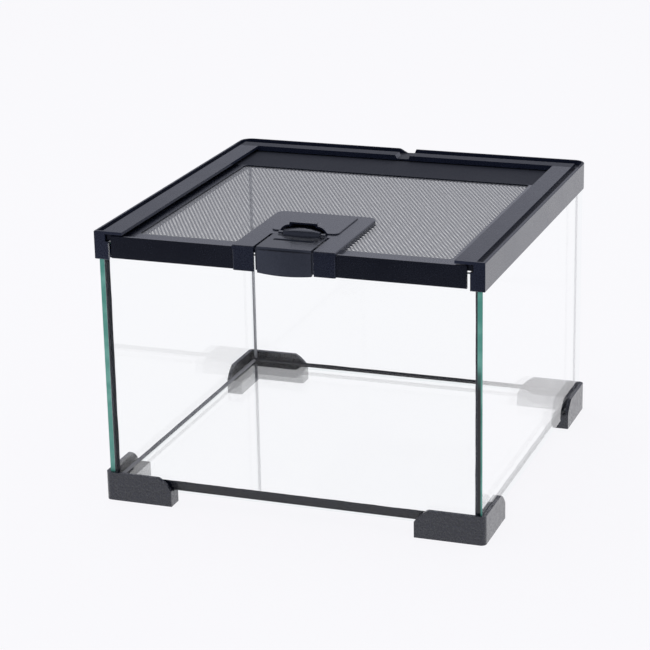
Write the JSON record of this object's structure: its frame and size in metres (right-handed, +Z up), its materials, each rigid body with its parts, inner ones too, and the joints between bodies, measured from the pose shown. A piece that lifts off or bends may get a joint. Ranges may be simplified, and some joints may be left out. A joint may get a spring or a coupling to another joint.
{
  "type": "reptile terrarium",
  "caption": "Small square glass terrarium with a black top frame, corner feet and a sliding screen lid that is held shut by a hinged front latch.",
  "frame": {"origin": "on the table under the middle of the square tank, at the bottom of the corner feet", "axes": "+Z up, +Y to the back, +X to the right seen from the front; the lid slides out towards -Y"},
  "size_m": [0.201, 0.202, 0.1468],
  "materials": {
    "glass": "clear float glass with ground green edges",
    "silicone": "cured silicone, satin",
    "black_plastic": "satin moulded",
    "foot_plastic": "satin moulded",
    "screen_metal": "black coated",
    "pin_steel": "drawn wire"
  },
  "bodies": {
    "tank": {"base_glass": "glass", "front_glass": "glass", "back_glass": "glass", "left_glass": "glass", "right_glass": "glass", "seam_front_left": "silicone", "seam_front_right": "silicone", "seam_back_left": "silicone", "seam_back_right": "silicone", "base_bead_front": "silicone", "base_bead_back": "silicone", "base_bead_left": "silicone", "base_bead_right": "silicone", "foot_front_left": "foot_plastic", "foot_front_right": "foot_plastic", "foot_back_left": "foot_plastic", "foot_back_right": "foot_plastic", "top_frame": "black_plastic"},
    "lid": {"lid_frame": "black_plastic", "mesh_screen": "screen_metal", "mesh_retainer": "black_plastic", "latch_cover": "black_plastic", "latch_pin": "pin_steel"},
    "latch": {"latch_tongue": "black_plastic"}
  },
  "joints": [
    {"name": "lid_slide", "type": "slide", "parent": "tank", "child": "lid", "axis": [0, -1, 0], "range_m": [0, 0.18]},
    {"name": "latch_lift", "type": "hinge", "parent": "lid", "child": "latch", "pos_m": [0, -0.074, 0.1409], "axis": [-1, 0, 0], "range_deg": [0, 12]}
  ]
}
